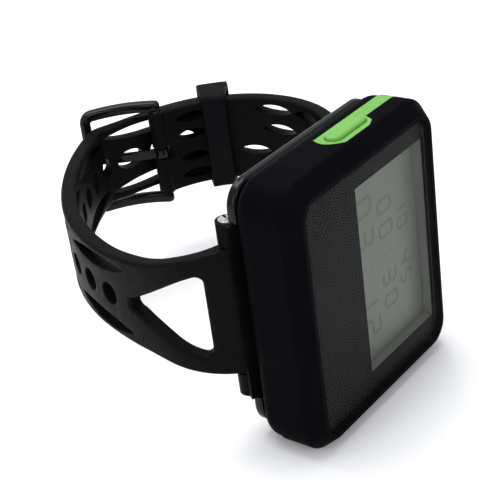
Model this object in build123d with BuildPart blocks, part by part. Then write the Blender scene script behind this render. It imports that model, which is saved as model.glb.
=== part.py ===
"""Square interval timer on a buckled rubber wrist strap, millimetres, +Z up.

The timer lies on its 3 o'clock side.  Its window looks towards -Y, its 12 o'clock end towards +X
and its 9 o'clock side up.  The strap is buckled into a loop behind it, towards +Y.  The origin is
under the middle of the whole outline, on the surface that the case rests on.
"""
from math import cos, hypot, radians, sin
import os

from build123d import *

# Driving dimensions ---------------------------------------------------------------------------
case_width = 50.0           # along X, 6 o'clock to 12 o'clock
case_height = 57.0          # along Z, 3 o'clock to 9 o'clock
case_corner = 7.0
case_wall = 2.2
bevel_depth = 3.0           # front bevel, measured back from the window
rim_width, rim_height, rim_corner = 44.8, 51.8, 4.6
bevel_round, rim_round = 1.2, 0.4   # edge radii of the front bevel
part_line = 9.6             # depth where the front case meets the rear cover
rear_plane = 13.9           # depth of the rear cover's back face
rear_inset = 0.25
rear_round = 3.0

lens_width, lens_height, lens_corner = 42.3, 49.2, 3.2
lens_thick = 1.2
window_x, window_width, window_height = 8.1, 23.9, 40.4
web_back = 2.2              # depth of the back of the case's front wall

strap_thick = 3.3
strap_lug_half = 13.65      # half width of both straps at their lugs
strap_lower_half = 9.25
strap_upper_half = 10.4
lug_pin_x, lug_pin_y = 20.9, 18.2
lug_eye_radius = 2.3
lug_pin_radius = 1.0
rail_half = 18.8
rail_notch_half = 14.0

arc_x, arc_y, arc_radius = 20.8, 54.0, 26.0     # the 12 o'clock strap's bend
layer_gap = 0.45            # between the two strap layers in the keeper
fit_gap = 0.05              # running clearance on a radius
seat_gap = 0.1

# The lens's centre stands here in the part's own frame.
origin_x, origin_y, origin_z = -9.375, -46.74, 0.5 * case_height

# Planes through the lens's centre: PLAN looks down (x, depth), FACE looks into the window (x, height),
# EDGE looks along the case's width (depth, height).
PLAN = Plane(origin=(origin_x, origin_y, origin_z), x_dir=(1, 0, 0), z_dir=(0, 0, 1))
FACE = Plane(origin=(origin_x, origin_y, origin_z), x_dir=(1, 0, 0), z_dir=(0, -1, 0))
EDGE = Plane(origin=(origin_x, origin_y, origin_z), x_dir=(0, 1, 0), z_dir=(1, 0, 0))

os.makedirs("parts", exist_ok=True)


def at_depth(depth):
    """Plane parallel to the window, so far behind it.  A positive extrusion comes forward."""
    return FACE.offset(-depth)


def on_arc(radius, angle):
    """Point at an angle on a circle about the centre of the 12 o'clock strap's bend."""
    return (arc_x + radius * cos(radians(angle)), arc_y + radius * sin(radians(angle)))


def save(piece, name):
    """Write one finished piece to its STEP file."""
    export_step(piece.part, f"parts/{name}.step")


# Case -----------------------------------------------------------------------------------------
tray_left, tray_right, tray_front, strip_front = -4.2, 9.6, 3.6, 6.5
strip_depth = 1.0           # how far the green strip sits into the case's sides
top_tray_half = 19.0        # half length of the wide part of the strip at 12 o'clock
pad_x, pad_y, pad_length, pad_width = 2.9, 6.7, 11.4, 3.5
pad_proud = 0.8
pad_lift = 0.45             # gap under a pad, a little less than its travel leaves over
top_pad_z = 9.5
stem_y, stem_length, stem_width = 8.0, 6.0, 1.0
screw_places = [(20.0, 24.6), (20.0, -24.6), (-5.8, 24.6), (-5.8, -24.6)]
boss_radius, screw_radius, screw_head_radius = 1.9, 0.8, 1.6
divider_x = -9.9
battery_x, battery_y, battery_radius, battery_length = -15.9, 7.5, 5.15, 43.5


def green_strip(grow, deep):
    """Outline of the strip let into the 9 and 12 o'clock sides, grown for its recess."""
    ring_front = strip_front - grow
    with BuildPart() as strip:
        with BuildSketch(at_depth(part_line)):
            RectangleRounded(case_width, case_height, case_corner)
            RectangleRounded(case_width - 2 * deep, case_height - 2 * deep, case_corner - deep, mode=Mode.SUBTRACT)
        extrude(amount=part_line - ring_front)
        with BuildSketch(PLAN.offset(-top_tray_half - 3 - grow)):
            with Locations((0.5 * case_width, 0.5 * part_line)):
                Rectangle(2 * (0.5 * case_width - tray_right) + 2 * grow, 3 * part_line)
        extrude(amount=top_tray_half + 3 + grow + case_height, mode=Mode.INTERSECT)
        with BuildSketch(PLAN.offset(0.5 * case_height - deep)):
            with BuildLine():
                Polyline((tray_right + 2, part_line), (tray_left + 0.6 - grow, part_line))
                Spline(
                    (tray_left + 0.6 - grow, part_line),
                    (tray_left - grow, 6.8),
                    (tray_left + 2.4 - grow, tray_front + 0.1 - grow),
                    (tray_left + 4.2, tray_front - grow),
                    tangents=[(-0.5, -1), (1, 0)],
                )
                Polyline(
                    (tray_left + 4.2, tray_front - grow),
                    (tray_right - 3.2 + grow, tray_front - grow),
                    (tray_right - 1.0 + grow, tray_front + 0.9 - grow),
                    (tray_right + grow, strip_front - grow),
                    (tray_right + 2, strip_front - grow),
                    (tray_right + 2, part_line),
                )
            make_face()
        extrude(amount=deep)
        with BuildSketch(EDGE.offset(0.5 * case_width - deep)):
            with Locations((0.5 * (tray_front + part_line) - 0.5 * grow, 0)):
                SlotOverall(2 * top_tray_half + 2 * grow, part_line - tray_front + grow, rotation=90)
            with Locations((part_line + 5, 0)):
                Rectangle(10, 2 * case_height, mode=Mode.SUBTRACT)
        extrude(amount=deep)
    return strip.part


with BuildPart() as front_case:
    with BuildSketch(at_depth(part_line)):
        RectangleRounded(case_width, case_height, case_corner)
    extrude(amount=part_line - bevel_depth)
    with BuildSketch(at_depth(bevel_depth)):
        RectangleRounded(case_width, case_height, case_corner)
    with BuildSketch(FACE):
        RectangleRounded(rim_width, rim_height, rim_corner)
    loft()
    for edge_depth, edge_round in ((bevel_depth, bevel_round), (0, rim_round)):
        edge_y = origin_y + edge_depth
        fillet(front_case.edges().filter_by_position(Axis.Y, edge_y - 0.01, edge_y + 0.01), edge_round)
    with BuildSketch(at_depth(lens_thick + 0.2)):
        RectangleRounded(lens_width + 0.4, lens_height + 0.4, lens_corner + 0.2)
    extrude(amount=lens_thick + 0.2, mode=Mode.SUBTRACT)
    with BuildSketch(at_depth(part_line)):
        RectangleRounded(case_width - 2 * case_wall, case_height - 2 * case_wall, case_corner - case_wall)
        with Locations((divider_x, 0)):
            Rectangle(0.8, case_height, mode=Mode.SUBTRACT)
        with Locations(*screw_places):
            Circle(boss_radius, mode=Mode.SUBTRACT)
    extrude(amount=part_line - web_back, mode=Mode.SUBTRACT)
    with BuildSketch(at_depth(web_back)):
        with Locations((window_x, 0)):
            Rectangle(window_width + 3.7, window_height + 4.0)
    extrude(amount=web_back - lens_thick - 0.2, mode=Mode.SUBTRACT)
    # Gasket groove in the back edge
    with BuildSketch(at_depth(part_line)):
        RectangleRounded(case_width - 2.3, case_height - 2.3, case_corner - 1.15)
        RectangleRounded(case_width - 3.5, case_height - 3.5, case_corner - 1.75, mode=Mode.SUBTRACT)
    extrude(amount=0.6, mode=Mode.SUBTRACT)
    # Screw holes, from the back
    with BuildSketch(at_depth(part_line)):
        with Locations(*screw_places):
            Circle(screw_radius + fit_gap)
    extrude(amount=5.0, mode=Mode.SUBTRACT)
    # Button stems come through the 9 and 12 o'clock walls
    with BuildSketch(PLAN.offset(0.5 * case_height - strip_depth)):
        with Locations((pad_x, stem_y)):
            Rectangle(stem_length + 0.4, stem_width + 0.4)
    extrude(amount=-case_wall, mode=Mode.SUBTRACT)
    with BuildSketch(EDGE.offset(0.5 * case_width - strip_depth)):
        with Locations((stem_y, top_pad_z), (stem_y, -top_pad_z)):
            Rectangle(stem_width + 0.4, stem_length + 0.4)
    extrude(amount=-case_wall, mode=Mode.SUBTRACT)
    add(green_strip(0.06, strip_depth + 0.05), mode=Mode.SUBTRACT)
front_case.part.label = "front_case"
save(front_case, "front_case")


def pad_hole(strip_cut):
    """Openings in the strip that the three pads stand in."""
    with BuildPart() as holes:
        with BuildSketch(PLAN.offset(0.5 * case_height - 2)):
            with Locations((pad_x, pad_y)):
                SlotOverall(pad_length + 2 * strip_cut, pad_width + 2 * strip_cut)
        extrude(amount=4)
        with BuildSketch(EDGE.offset(0.5 * case_width - 2)):
            with Locations((pad_y, top_pad_z), (pad_y, -top_pad_z)):
                SlotOverall(pad_length + 2 * strip_cut, pad_width + 2 * strip_cut, rotation=90)
        extrude(amount=4)
    return holes.part


with BuildPart() as button_strip:
    add(green_strip(0, strip_depth))
    add(pad_hole(0.15), mode=Mode.SUBTRACT)
button_strip.part.label = "button_strip"
save(button_strip, "button_strip")

# Push buttons: a rounded pad with a stem that reaches its switch
pad_base = 0.5 * case_height - strip_depth + pad_lift
switch_gap = 0.55
stem_end = 0.5 * case_height - 2.95
with BuildPart() as left_button:
    with BuildSketch(PLAN.offset(pad_base)):
        with Locations((pad_x, pad_y)):
            SlotOverall(pad_length, pad_width)
    extrude(amount=0.5 * case_height + pad_proud - pad_base)
    fillet(left_button.faces().sort_by(Axis.Z)[-1].edges(), 0.6)
    with BuildSketch(PLAN.offset(stem_end)):
        with Locations((pad_x, stem_y)):
            Rectangle(stem_length, stem_width)
    extrude(amount=pad_base - stem_end + 0.2)
left_button.part.label = "left_button"
save(left_button, "left_button")

top_base = 0.5 * case_width - strip_depth + pad_lift
top_stem_end = 0.5 * case_width - 2.95
for button_name, pad_z in (("top_button_a", top_pad_z), ("top_button_b", -top_pad_z)):
    with BuildPart() as top_button:
        with BuildSketch(EDGE.offset(top_base)):
            with Locations((pad_y, pad_z)):
                SlotOverall(pad_length, pad_width, rotation=90)
        extrude(amount=0.5 * case_width + pad_proud - top_base)
        fillet(top_button.faces().sort_by(Axis.X)[-1].edges(), 0.6)
        with BuildSketch(EDGE.offset(top_stem_end)):
            with Locations((stem_y, pad_z)):
                Rectangle(stem_width, stem_length)
        extrude(amount=top_base - top_stem_end + 0.2)
    top_button.part.label = button_name
    save(top_button, button_name)

# Rear cover, with a battery opening, screw bosses and a T-slot open at 12 o'clock --------------
rear_wall = 1.3
door_edge_x, door_half = -8.4, 25.2
door_depth = 12.95
bay_left, bay_right, bay_half = -22.4, -9.3, 24.3
slot_start, slot_neck_half, slot_head_half = 3.6, 4.0, 6.2
slot_top, slot_lip = 11.6, 13.3


def rear_body():
    """Closed outer form of the rear cover and its door, rounded at the back."""
    with BuildPart() as body:
        with BuildSketch(at_depth(rear_plane)):
            RectangleRounded(case_width - 2 * rear_inset, case_height - 2 * rear_inset, case_corner)
        extrude(amount=rear_plane - part_line)
        fillet(body.faces().sort_by(Axis.Y)[-1].edges(), rear_round)
    return body.part


with BuildPart() as rear_cover:
    add(rear_body())
    with BuildSketch(at_depth(rear_plane - rear_wall)):
        RectangleRounded(case_width - 2 * case_wall, case_height - 2 * case_wall, case_corner - case_wall)
        with Locations(*screw_places):
            Circle(boss_radius, mode=Mode.SUBTRACT)
        with Locations((0.5 * case_width, 0)):
            Rectangle(case_width - 2 * slot_start + 2.4, 2 * slot_head_half + 2.4, mode=Mode.SUBTRACT)
    extrude(amount=rear_plane - rear_wall - part_line, mode=Mode.SUBTRACT)
    # The T-slot's housing stops short of the circuit board
    with BuildSketch(at_depth(slot_top - 1.0)):
        with Locations((0.5 * case_width - case_wall - 15, 0)):
            Rectangle(30, 2 * slot_head_half + 2.6)
    extrude(amount=slot_top - 1.0 - part_line, mode=Mode.SUBTRACT)
    # Battery opening and the door's seat
    with BuildSketch(at_depth(rear_plane)):
        with Locations((0.5 * (bay_left + bay_right), 0)):
            Rectangle(bay_right - bay_left, 2 * bay_half)
    extrude(amount=rear_plane - part_line, mode=Mode.SUBTRACT)
    with BuildSketch(at_depth(rear_plane + 1)):
        with Locations((door_edge_x + seat_gap - 15, 0)):
            Rectangle(30, 2 * door_half + 2 * seat_gap)
    extrude(amount=rear_plane + 1 - door_depth + seat_gap, mode=Mode.SUBTRACT)
    # T-slot, from the middle out to the 12 o'clock edge
    with BuildSketch(at_depth(rear_plane + 1)):
        with Locations((slot_start + 15, 0)):
            Rectangle(30, 2 * slot_neck_half)
    extrude(amount=rear_plane + 1 - slot_top, mode=Mode.SUBTRACT)
    with BuildSketch(at_depth(slot_lip)):
        with Locations((slot_start + 15, 0)):
            Rectangle(30, 2 * slot_head_half)
    extrude(amount=slot_lip - slot_top, mode=Mode.SUBTRACT)
    with BuildSketch(at_depth(rear_plane)):
        with Locations(*screw_places):
            Circle(screw_radius + 0.25)
    extrude(amount=rear_plane - part_line, mode=Mode.SUBTRACT)
    with BuildSketch(at_depth(rear_plane)):
        with Locations(*screw_places):
            Circle(screw_head_radius + 0.15)
    extrude(amount=1.5, mode=Mode.SUBTRACT)
rear_cover.part.label = "rear_cover"
save(rear_cover, "rear_cover")

with BuildPart() as battery_door:
    add(rear_body())
    with BuildSketch(at_depth(rear_plane + 1)):
        with Locations((door_edge_x - 15, 0)):
            Rectangle(30, 2 * door_half)
    extrude(amount=rear_plane + 1 - door_depth, mode=Mode.INTERSECT)
    # Thumb grooves across the door
    with BuildSketch(at_depth(rear_plane)):
        with Locations(*[(-18.5 + 1.4 * i, 0) for i in range(5)]):
            SlotOverall(16, 0.7, rotation=90)
    extrude(amount=0.35, mode=Mode.SUBTRACT)
battery_door.part.label = "battery_door"
save(battery_door, "battery_door")

with BuildPart() as case_gasket:
    with BuildSketch(at_depth(part_line - 0.02)):
        RectangleRounded(case_width - 2.4, case_height - 2.4, case_corner - 1.2)
        RectangleRounded(case_width - 3.4, case_height - 3.4, case_corner - 1.7, mode=Mode.SUBTRACT)
    extrude(amount=0.53)
case_gasket.part.label = "case_gasket"
save(case_gasket, "case_gasket")

with BuildPart() as case_screws:
    with BuildSketch(at_depth(rear_plane - 0.2)):
        with Locations(*screw_places):
            Circle(screw_head_radius)
    extrude(amount=1.25)
    with BuildSketch(at_depth(rear_plane - 1.4)):
        with Locations(*screw_places):
            Circle(screw_radius)
    extrude(amount=7.4)
    with BuildSketch(at_depth(rear_plane)):
        with Locations(*screw_places):
            Rectangle(2.0, 0.45)
            Rectangle(0.45, 2.0)
    extrude(amount=0.75, mode=Mode.SUBTRACT)
case_screws.part.label = "case_screws"
save(case_screws, "case_screws")

# Window and display ---------------------------------------------------------------------------
with BuildPart() as lens:
    with BuildSketch(at_depth(lens_thick)):
        RectangleRounded(lens_width, lens_height, lens_corner)
    extrude(amount=lens_thick)
    fillet(lens.faces().sort_by(Axis.Y)[0].edges(), 0.25)
lens.part.label = "lens"
save(lens, "lens")

with BuildPart() as window_mask:
    with BuildSketch(at_depth(lens_thick + 0.17)):
        RectangleRounded(lens_width - 0.4, lens_height - 0.4, lens_corner - 0.2)
        with Locations((window_x, 0)):
            Rectangle(window_width, window_height, mode=Mode.SUBTRACT)
    extrude(amount=0.15)
window_mask.part.label = "window_mask"
save(window_mask, "window_mask")

bezel_back, lcd_back, board_front, board_back = 3.5, 5.0, 6.4, 7.4
with BuildPart() as lcd_bezel:
    with BuildSketch(at_depth(bezel_back)):
        with Locations((window_x, 0)):
            Rectangle(window_width + 3.5, window_height + 3.8)
            Rectangle(window_width + 0.2, window_height + 0.2, mode=Mode.SUBTRACT)
    extrude(amount=bezel_back - lens_thick - 0.22)
lcd_bezel.part.label = "lcd_bezel"
save(lcd_bezel, "lcd_bezel")

with BuildPart() as lcd_panel:
    with BuildSketch(at_depth(lcd_back)):
        with Locations((window_x, 0)):
            Rectangle(window_width + 3.1, window_height + 3.4)
    extrude(amount=lcd_back - bezel_back - 0.05)
lcd_panel.part.label = "lcd_panel"
save(lcd_panel, "lcd_panel")

with BuildPart() as lcd_reflector:
    with BuildSketch(at_depth(lcd_back + 0.35)):
        with Locations((window_x, 0)):
            Rectangle(window_width + 1, window_height - 1)
    extrude(amount=0.3)
lcd_reflector.part.label = "lcd_reflector"
save(lcd_reflector, "lcd_reflector")

with BuildPart() as zebra_connectors:
    with BuildSketch(at_depth(board_front - 0.03)):
        with Locations((window_x, 0.5 * window_height + 0.7), (window_x, -0.5 * window_height - 0.7)):
            Rectangle(window_width, 1.5)
    extrude(amount=board_front - lcd_back - 0.06)
zebra_connectors.part.label = "zebra_connectors"
save(zebra_connectors, "zebra_connectors")

board_x, board_width, board_half = 6.35, 31.3, 21.4
with BuildPart() as circuit_board:
    with BuildSketch(at_depth(board_back)):
        with Locations((board_x, 0)):
            RectangleRounded(board_width, 2 * board_half + 4.4, 1.5)
        with Locations(*screw_places):
            Circle(boss_radius + 0.3, mode=Mode.SUBTRACT)
    extrude(amount=board_back - board_front)
circuit_board.part.label = "circuit_board"
save(circuit_board, "circuit_board")

with BuildPart() as controller_chip:
    with BuildSketch(at_depth(board_back + 1.2)):
        with Locations((1.0, 0)):
            Rectangle(9, 9)
    extrude(amount=1.17)
    chamfer(controller_chip.faces().sort_by(Axis.Y)[-1].edges(), 0.15)
controller_chip.part.label = "controller_chip"
save(controller_chip, "controller_chip")

with BuildPart() as buzzer:
    with BuildSketch(at_depth(board_back + 3.0)):
        with Locations((10.5, -14.5)):
            Circle(5.0)
            Circle(0.8, mode=Mode.SUBTRACT)
    extrude(amount=2.95)
buzzer.part.label = "buzzer"
save(buzzer, "buzzer")

# Side-push switches on the back of the board, one behind each button
switch_front = board_back + 0.05
with BuildPart() as tactile_switches:
    with BuildSketch(at_depth(switch_front + 1.6)):
        with Locations((pad_x, 0.5 * case_height - 2.95 - switch_gap - 1.4)):
            Rectangle(6, 2.8)
        with Locations(*[(0.5 * case_width - 2.95 - switch_gap - 1.4, side * top_pad_z) for side in (1, -1)]):
            Rectangle(2.8, 6)
    extrude(amount=1.6)
tactile_switches.part.label = "tactile_switches"
save(tactile_switches, "tactile_switches")

# Vibration motor, its shaft and its half-round weight
motor_x, motor_y, motor_radius, motor_start, motor_end = 12.2, 9.75, 2.0, 8.4, 17.4
shaft_radius = 0.4
with BuildPart() as vibration_motor:
    with BuildSketch(PLAN.offset(motor_start)):
        with Locations((motor_x, motor_y)):
            Circle(motor_radius)
    extrude(amount=motor_end - motor_start)
    with BuildSketch(PLAN.offset(motor_start + 2)):
        with Locations((motor_x, motor_y)):
            Circle(shaft_radius + fit_gap)
    extrude(amount=motor_end, mode=Mode.SUBTRACT)
vibration_motor.part.label = "vibration_motor"
save(vibration_motor, "vibration_motor")

with BuildPart() as motor_weight:
    with BuildSketch(PLAN.offset(motor_start + 2.2)):
        with Locations((motor_x, motor_y)):
            Circle(shaft_radius)
    extrude(amount=motor_end + 3.2 - motor_start - 2.2)
    with BuildSketch(PLAN.offset(motor_end + 0.4)):
        with Locations((motor_x, motor_y)):
            Circle(motor_radius - 0.1)
        with Locations((motor_x, motor_y + motor_radius + shaft_radius)):
            Rectangle(3 * motor_radius, 2 * motor_radius, mode=Mode.SUBTRACT)
    extrude(amount=2.8)
motor_weight.part.label = "motor_weight"
save(motor_weight, "motor_weight")

# Battery and its contacts ---------------------------------------------------------------------
with BuildPart() as battery:
    with BuildSketch(PLAN.offset(-0.5 * battery_length)):
        with Locations((battery_x, battery_y)):
            Circle(battery_radius)
    extrude(amount=battery_length)
    chamfer(battery.edges().filter_by(GeomType.CIRCLE), 0.4)
    with BuildSketch(PLAN.offset(0.5 * battery_length)):
        with Locations((battery_x, battery_y)):
            Circle(1.9)
    extrude(amount=0.9)
battery.part.label = "battery"
save(battery, "battery")

with BuildPart() as battery_spring:
    with BuildSketch(PLAN.offset(-24.2)):
        with Locations((battery_x, battery_y)):
            Rectangle(8, 8)
    extrude(amount=0.3)
    with BuildSketch(PLAN.offset(-23.9)):
        with Locations((battery_x, battery_y)):
            Circle(3.4)
    with BuildSketch(PLAN.offset(-21.8)):
        with Locations((battery_x, battery_y)):
            Circle(2.0)
    loft()
    with BuildSketch(PLAN.offset(-23.9)):
        with Locations((battery_x, battery_y)):
            Circle(2.7)
    with BuildSketch(PLAN.offset(-21.7)):
        with Locations((battery_x, battery_y)):
            Circle(1.3)
    loft(mode=Mode.SUBTRACT)
battery_spring.part.label = "battery_spring"
save(battery_spring, "battery_spring")

with BuildPart() as battery_contact:
    with BuildSketch(PLAN.offset(22.75)):
        with Locations((battery_x, battery_y)):
            RectangleRounded(8, 8, 0.8)
    extrude(amount=0.4)
    with BuildSketch(PLAN.offset(23.15)):
        with Locations((battery_x, battery_y)):
            Rectangle(3, 8)
    extrude(amount=0.9)
battery_contact.part.label = "battery_contact"
save(battery_contact, "battery_contact")

# Carrier: the glossy plate behind the timer, the tongue that the timer slides onto, and the lugs --
plate_front, plate_back = 14.7, 17.0
plate_left, plate_right, plate_half, plate_corner = -22.4, 24.2, 26.4, 5.0
plate_notch_x = 18.3
rail_gap = 0.15
foot_back, foot_inner = 18.7, 12.0
tongue_start, tongue_end, tongue_head_half, tongue_neck_half = 4.0, 20.0, 6.0, 3.8
tongue_top, tongue_step = 11.75, 13.1
tongue_screws_at = [(8.0, 0), (16.0, 0)]
rail_screw_x, rail_screw_z = 15.0, 12.0
rail_screws_at = [(side * rail_screw_x, z) for side in (-1, 1) for z in (-rail_screw_z, rail_screw_z)]

with BuildPart() as carrier_plate:
    with BuildSketch(at_depth(plate_back)):
        with Locations((0.5 * (plate_left + plate_right), 0)):
            RectangleRounded(plate_right - plate_left, 2 * plate_half, plate_corner)
    extrude(amount=plate_back - plate_front)
    fillet(carrier_plate.faces().filter_by(Axis.Y).edges(), 0.8)
    with BuildSketch(at_depth(plate_back)):
        with Locations((-plate_notch_x - 5, 0), (plate_notch_x + 5, 0)):
            Rectangle(10, 2 * rail_half + 4 * rail_gap)
    extrude(amount=plate_back - plate_front, mode=Mode.SUBTRACT)
    with BuildSketch(at_depth(plate_back)):
        with Locations(*rail_screws_at):
            Circle(0.85)
    extrude(amount=1.9, mode=Mode.SUBTRACT)
    with BuildSketch(at_depth(plate_back)):
        with Locations(*tongue_screws_at):
            Circle(0.85)
    extrude(amount=plate_back - plate_front, mode=Mode.SUBTRACT)
    with BuildSketch(at_depth(plate_back)):
        with Locations(*tongue_screws_at):
            Circle(1.6)
    extrude(amount=1.1, mode=Mode.SUBTRACT)
carrier_plate.part.label = "carrier_plate"
save(carrier_plate, "carrier_plate")

with BuildPart() as mounting_tongue:
    with BuildSketch(at_depth(plate_front)):
        with Locations((0.5 * (tongue_start + tongue_end), 0)):
            Rectangle(tongue_end - tongue_start, 2 * tongue_neck_half)
    extrude(amount=plate_front - tongue_top)
    with BuildSketch(at_depth(tongue_step)):
        with Locations((0.5 * (tongue_start + tongue_end), 0)):
            RectangleRounded(tongue_end - tongue_start, 2 * tongue_head_half, 1.0)
    extrude(amount=tongue_step - tongue_top)
    with BuildSketch(at_depth(plate_front)):
        with Locations(*tongue_screws_at):
            Circle(0.85)
    extrude(amount=2.2, mode=Mode.SUBTRACT)
mounting_tongue.part.label = "mounting_tongue"
save(mounting_tongue, "mounting_tongue")

with BuildPart() as tongue_screws:
    with BuildSketch(at_depth(plate_back - 0.1)):
        with Locations(*tongue_screws_at):
            Circle(1.5)
    extrude(amount=0.95)
    with BuildSketch(at_depth(plate_back - 1.0)):
        with Locations(*tongue_screws_at):
            Circle(0.8)
    extrude(amount=3.2)
    with BuildSketch(at_depth(plate_back)):
        with Locations(*tongue_screws_at):
            Rectangle(1.9, 0.4)
            Rectangle(0.4, 1.9)
    extrude(amount=0.6, mode=Mode.SUBTRACT)
tongue_screws.part.label = "tongue_screws"
save(tongue_screws, "tongue_screws")


def lug_rail(side):
    """Lug bar with a flat front facet, a round back and a notch for the strap's eye."""
    with BuildPart() as rail:
        with BuildSketch(PLAN.offset(-rail_half)):
            with Locations((side * lug_pin_x, lug_pin_y)):
                Circle(lug_eye_radius)
            with BuildLine():
                Polyline(
                    (side * 23.7, 16.0),
                    (side * 21.1, 14.85),
                    (side * 19.2, 15.4),
                    (side * 18.5, plate_back + rail_gap),
                    (side * foot_inner, plate_back + 0.02),
                    (side * foot_inner, foot_back),
                    (side * 17.6, foot_back),
                    (side * (lug_pin_x - 1.0), foot_back + 1.2),
                    (side * (lug_pin_x + 1.0), foot_back),
                    close=True,
                )
            make_face()
        extrude(amount=2 * rail_half)
        with BuildSketch(PLAN.offset(-rail_notch_half)):
            with Locations((side * lug_pin_x, lug_pin_y)):
                Circle(lug_eye_radius + 0.3)
            with Locations((side * (lug_pin_x + 0.6), lug_pin_y + 3)):
                Rectangle(5.6, 6)
        extrude(amount=2 * rail_notch_half, mode=Mode.SUBTRACT)
        with BuildSketch(PLAN.offset(-rail_half)):
            with Locations((side * lug_pin_x, lug_pin_y)):
                Circle(lug_pin_radius + fit_gap)
        extrude(amount=2 * rail_half, mode=Mode.SUBTRACT)
        with BuildSketch(PLAN.offset(rail_half)):
            with Locations((side * lug_pin_x, lug_pin_y)):
                Circle(1.8)
        extrude(amount=-0.9, mode=Mode.SUBTRACT)
        with BuildSketch(at_depth(foot_back)):
            with Locations(*[place for place in rail_screws_at if place[0] * side > 0]):
                Circle(0.85)
        extrude(amount=foot_back - plate_back, mode=Mode.SUBTRACT)
    return rail.part


with BuildPart() as lug_rail_lower:
    add(lug_rail(-1))
lug_rail_lower.part.label = "lug_rail_lower"
save(lug_rail_lower, "lug_rail_lower")

with BuildPart() as lug_rail_upper:
    add(lug_rail(1))
lug_rail_upper.part.label = "lug_rail_upper"
save(lug_rail_upper, "lug_rail_upper")

with BuildPart() as rail_screws:
    with BuildSketch(at_depth(foot_back + 0.6)):
        with Locations(*rail_screws_at):
            Circle(1.5)
    extrude(amount=0.58)
    with BuildSketch(at_depth(foot_back + 0.1)):
        with Locations(*rail_screws_at):
            Circle(0.8)
    extrude(amount=3.6)
    with BuildSketch(at_depth(foot_back + 0.6)):
        with Locations(*rail_screws_at):
            Rectangle(1.9, 0.4)
            Rectangle(0.4, 1.9)
    extrude(amount=0.35, mode=Mode.SUBTRACT)
rail_screws.part.label = "rail_screws"
save(rail_screws, "rail_screws")

for pin_name, side in (("lug_pin_lower", -1), ("lug_pin_upper", 1)):
    with BuildPart() as lug_pin:
        with BuildSketch(PLAN.offset(-rail_half + 0.4)):
            with Locations((side * lug_pin_x, lug_pin_y)):
                Circle(lug_pin_radius)
        extrude(amount=2 * rail_half - 0.8)
        with BuildSketch(PLAN.offset(rail_half - 0.8)):
            with Locations((side * lug_pin_x, lug_pin_y)):
                Circle(1.7)
        extrude(amount=1.0)
        with BuildSketch(PLAN.offset(rail_half + 0.2)):
            with Locations((side * lug_pin_x, lug_pin_y)):
                Rectangle(4, 0.5, rotation=60)
        extrude(amount=-0.5, mode=Mode.SUBTRACT)
    lug_pin.part.label = pin_name
    save(lug_pin, pin_name)

# Strap ----------------------------------------------------------------------------------------
tail_radius = arc_radius + strap_thick + layer_gap
tail_start, tail_end = 62.0, 35.5            # angles on the bend
bar_angle = 72.0
spring_bar = on_arc(arc_radius, bar_angle)
front_bar = (17.2, 90.6)
front_bar_radius, spring_bar_radius, knuckle_radius = 1.5, 0.75, 1.95
lower_taper_end, upper_taper_end = 42.0, 38.0
bend_start = (14.0, 86.3)
hole_first, hole_pitch, hole_count, hole_radius = 29.6, 7.75, 12, 2.35
slot_offset, slot_reach, slot_wide = 6.55, 20.6, 2.9
prong_half = 1.15

# Middle lines of the two straps, in the plane PLAN.  The lower one ends in the buckled tail.
with BuildLine() as lower_path:
    RadiusArc((-lug_pin_x, lug_pin_y), (-28.05, 30.5), 14.15)
    TangentArc((-28.05, 30.5), (-13.3, 67.6), tangent=(0, 1))
    TangentArc((-13.3, 67.6), bend_start, tangent=(0.687, 0.727))
    Spline(
        bend_start,
        (17.0, 87.2),
        (20.2, 86.1),
        on_arc(tail_radius, tail_start),
        tangents=[(0.9, 0.43), (sin(radians(tail_start)), -cos(radians(tail_start)))],
    )
    CenterArc((arc_x, arc_y), tail_radius, tail_start, tail_end - tail_start)

upper_arc_start = -52.0
with BuildLine() as upper_path:
    CenterArc((arc_x, arc_y), arc_radius, bar_angle, upper_arc_start - bar_angle)
    TangentArc(
        on_arc(arc_radius, upper_arc_start),
        (lug_pin_x, lug_pin_y),
        tangent=(sin(radians(upper_arc_start)), -cos(radians(upper_arc_start))),
    )


def along(path, distance):
    """Plane on a middle line: x along the strap, y up, z out of the loop."""
    share = distance / path.wire().length
    point, ahead = path.wire() @ share, path.wire() % share
    return Plane(origin=PLAN.from_local_coords(point), x_dir=ahead, z_dir=-ahead.cross(Vector(0, 0, 1)))


def side_view(plain_half, taper_end):
    """Strap seen along the case: wide at the lug, then tapering to its plain width."""
    lug_half = strap_lug_half
    far_middle = (31.3, 0.34 * lug_half + 0.66 * plain_half)
    near_middle = (26.4, 0.61 * lug_half + 0.39 * plain_half)
    with BuildSketch(EDGE) as view:
        with BuildLine():
            Polyline((taper_end, 0), (110, 0), (110, plain_half), (taper_end, plain_half))
            Spline((taper_end, plain_half), far_middle, near_middle, (19.0, lug_half))
            Polyline((19.0, lug_half), (10, lug_half), (10, 0), (taper_end, 0))
        make_face()
        mirror(about=Plane.XZ)
    return view.sketch


def plain_strap(path, pin, plain_half, taper_end):
    """Strap with its lug eye, before its holes are cut."""
    with BuildPart() as strap:
        with BuildSketch(PLAN):
            add(path.line)
            trace(line_width=strap_thick)
        extrude(amount=strap_lug_half, both=True)
        extrude(side_view(plain_half, taper_end), amount=80, both=True, mode=Mode.INTERSECT)
        with BuildSketch(PLAN.offset(-strap_lug_half)):
            with Locations(pin):
                Circle(lug_eye_radius)
        extrude(amount=2 * strap_lug_half)
        with BuildSketch(PLAN.offset(-strap_lug_half)):
            with Locations(pin):
                Circle(lug_pin_radius + fit_gap)
        extrude(amount=2 * strap_lug_half, mode=Mode.SUBTRACT)
    return strap.part


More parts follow.
